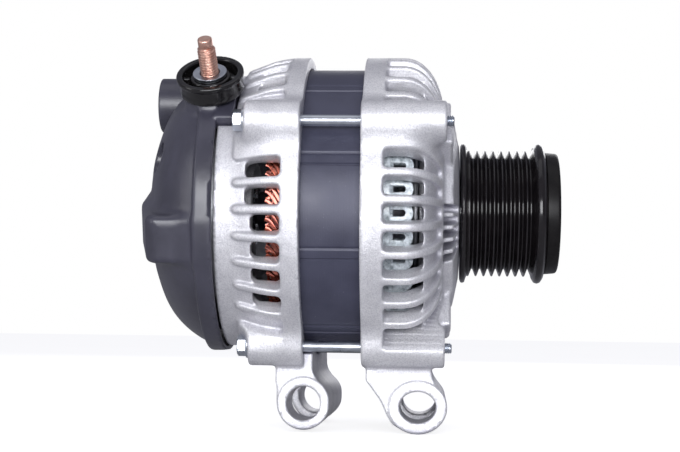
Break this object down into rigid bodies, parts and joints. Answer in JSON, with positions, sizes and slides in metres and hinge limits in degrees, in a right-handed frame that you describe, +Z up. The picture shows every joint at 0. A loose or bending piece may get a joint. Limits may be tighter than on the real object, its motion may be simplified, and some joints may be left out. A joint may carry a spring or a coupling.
{
  "type": "car alternator",
  "caption": "Car alternator with cast brackets, bare stator ring, overrunning multi-rib pulley, black rear cover with a battery stud, and two mounting lugs.",
  "frame": {"origin": "on the shaft axis, at the centre of the pulley cap's front face", "axes": "+X along the shaft out of the pulley, +Z up with the mounting lugs below, +Y along the lug bores from their near faces to their far faces"},
  "size_m": [0.1835, 0.139, 0.1677],
  "materials": {
    "cast_aluminium": "fine as-cast grain, machined lug faces",
    "core_paint": "satin slate blue over stacked steel",
    "zinc_steel": "bluish zinc plate",
    "bearing_steel": "ground",
    "dark_steel": "dark forged steel",
    "sheet_steel": "pressed sheet",
    "copper_plate": "copper flash on steel",
    "winding_resin": "enamelled copper under thin resin",
    "cover_plastic": "satin moulded black",
    "gloss_plastic": "glossy black",
    "tan_plastic": "dark phenolic",
    "pulley_black": "glossy black coating on machined steel",
    "graphite": "pressed carbon"
  },
  "bodies": {
    "housing": {"front_bracket": "cast_aluminium", "rear_bracket": "cast_aluminium", "stator_core": "core_paint", "stator_winding": "winding_resin", "through_bolt_1": "zinc_steel", "through_bolt_2": "zinc_steel", "through_bolt_3": "zinc_steel", "through_bolt_4": "zinc_steel", "front_bearing_outer_race": "bearing_steel", "rear_bearing_outer_race": "bearing_steel", "bearing_retainer_plate": "sheet_steel", "retainer_screw_1": "zinc_steel", "retainer_screw_2": "zinc_steel", "retainer_screw_3": "zinc_steel", "retainer_screw_4": "zinc_steel", "rear_cover": "cover_plastic", "cover_stud_1": "zinc_steel", "cover_stud_2": "zinc_steel", "cover_stud_3": "zinc_steel", "cover_nut_1": "zinc_steel", "cover_nut_2": "zinc_steel", "cover_nut_3": "zinc_steel", "rectifier_negative_plate": "sheet_steel", "rectifier_positive_plate": "sheet_steel", "rectifier_terminal_block": "tan_plastic", "rectifier_diode_1": "dark_steel", "rectifier_diode_2": "dark_steel", "rectifier_diode_3": "dark_steel", "rectifier_diode_4": "dark_steel", "rectifier_diode_5": "dark_steel", "rectifier_diode_6": "dark_steel", "voltage_regulator": "dark_steel", "plug_socket": "cover_plastic", "brush_holder": "tan_plastic", "brush_spring_1": "bearing_steel", "brush_spring_2": "bearing_steel", "terminal_guard": "gloss_plastic", "terminal_washer": "zinc_steel", "terminal_stud": "copper_plate"},
    "rotor": {"rotor_shaft": "dark_steel", "pole_claw_front": "dark_steel", "pole_claw_rear": "dark_steel", "coil_bobbin": "tan_plastic", "field_coil": "winding_resin", "front_fan": "sheet_steel", "rear_fan": "sheet_steel", "slip_ring_sleeve": "tan_plastic", "slip_ring_1": "copper_plate", "slip_ring_2": "copper_plate", "front_bearing_inner_race": "bearing_steel", "rear_bearing_inner_race": "bearing_steel", "spacer_collar": "bearing_steel", "pulley_hub": "bearing_steel", "clutch_roller_cage": "bearing_steel"},
    "front_cage": {"front_bearing_balls": "bearing_steel"},
    "rear_cage": {"rear_bearing_balls": "bearing_steel"},
    "pulley": {"pulley_ring": "pulley_black", "pulley_cap": "gloss_plastic"},
    "brush_1": {"brush_1": "graphite"},
    "brush_2": {"brush_2": "graphite"}
  },
  "joints": [
    {"name": "rotor_spin", "type": "hinge", "parent": "housing", "child": "rotor", "pos_m": [-0.0982, 0, 0], "axis": [1, 0, 0], "continuous": true},
    {"name": "front_cage_spin", "type": "hinge", "parent": "housing", "child": "front_cage", "pos_m": [-0.0547, 0, 0], "axis": [1, 0, 0], "continuous": true},
    {"name": "rear_cage_spin", "type": "hinge", "parent": "housing", "child": "rear_cage", "pos_m": [-0.1412, 0, 0], "axis": [1, 0, 0], "continuous": true},
    {"name": "pulley_freewheel", "type": "hinge", "parent": "rotor", "child": "pulley", "pos_m": [-0.0252, 0, 0], "axis": [1, 0, 0], "continuous": true},
    {"name": "brush_1_slide", "type": "slide", "parent": "housing", "child": "brush_1", "axis": [0, -0.9563, -0.2924], "range_m": [0, 0.004], "stiffness_N_per_m": 400, "springref_m": -0.008, "deforming": ["brush_spring_1"]},
    {"name": "brush_2_slide", "type": "slide", "parent": "housing", "child": "brush_2", "axis": [0, -0.9563, -0.2924], "range_m": [0, 0.004], "stiffness_N_per_m": 400, "springref_m": -0.008, "deforming": ["brush_spring_2"]}
  ],
  "couplings": [
    {"joint": "front_cage_spin", "follows": "rotor_spin", "ratio": 0.413},
    {"joint": "rear_cage_spin", "follows": "rotor_spin", "ratio": 0.406}
  ]
}
